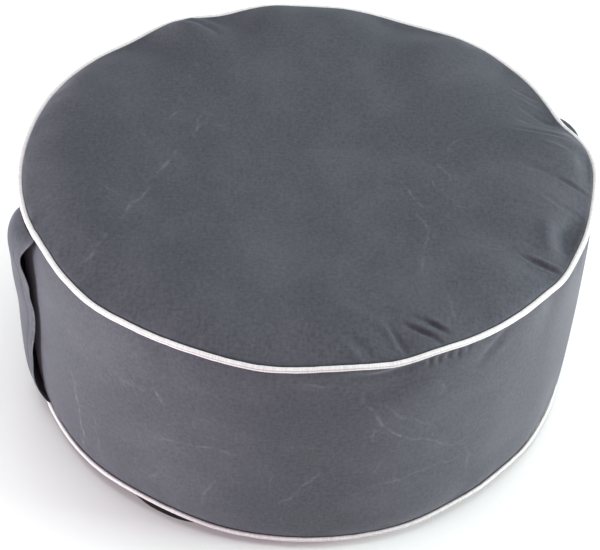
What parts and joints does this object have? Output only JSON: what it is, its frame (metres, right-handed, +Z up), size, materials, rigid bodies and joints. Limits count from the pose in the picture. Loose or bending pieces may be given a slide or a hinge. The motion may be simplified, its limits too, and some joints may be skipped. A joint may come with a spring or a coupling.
{
  "type": "round inflatable pouf",
  "caption": "Round drum-shaped inflatable pouf in a slate-grey woven cover with white piping at its top and base seams and a gaping closure flap.",
  "frame": {"origin": "middle of the flat foot, on the floor", "axes": "+Z up through the middle of the drum, -Y the front as seen in the picture, with the closure flap towards -X"},
  "size_m": [0.5461, 0.5423, 0.2554],
  "materials": {
    "cover_cloth": "matt slate-grey woven polyester",
    "piping_cloth": "smooth white bias-cut polyester over a cord"
  },
  "bodies": {
    "root": {"pouf_body": "cover_cloth", "closure_flap": "cover_cloth", "top_piping": "piping_cloth", "base_piping": "piping_cloth"}
  },
  "joints": []
}
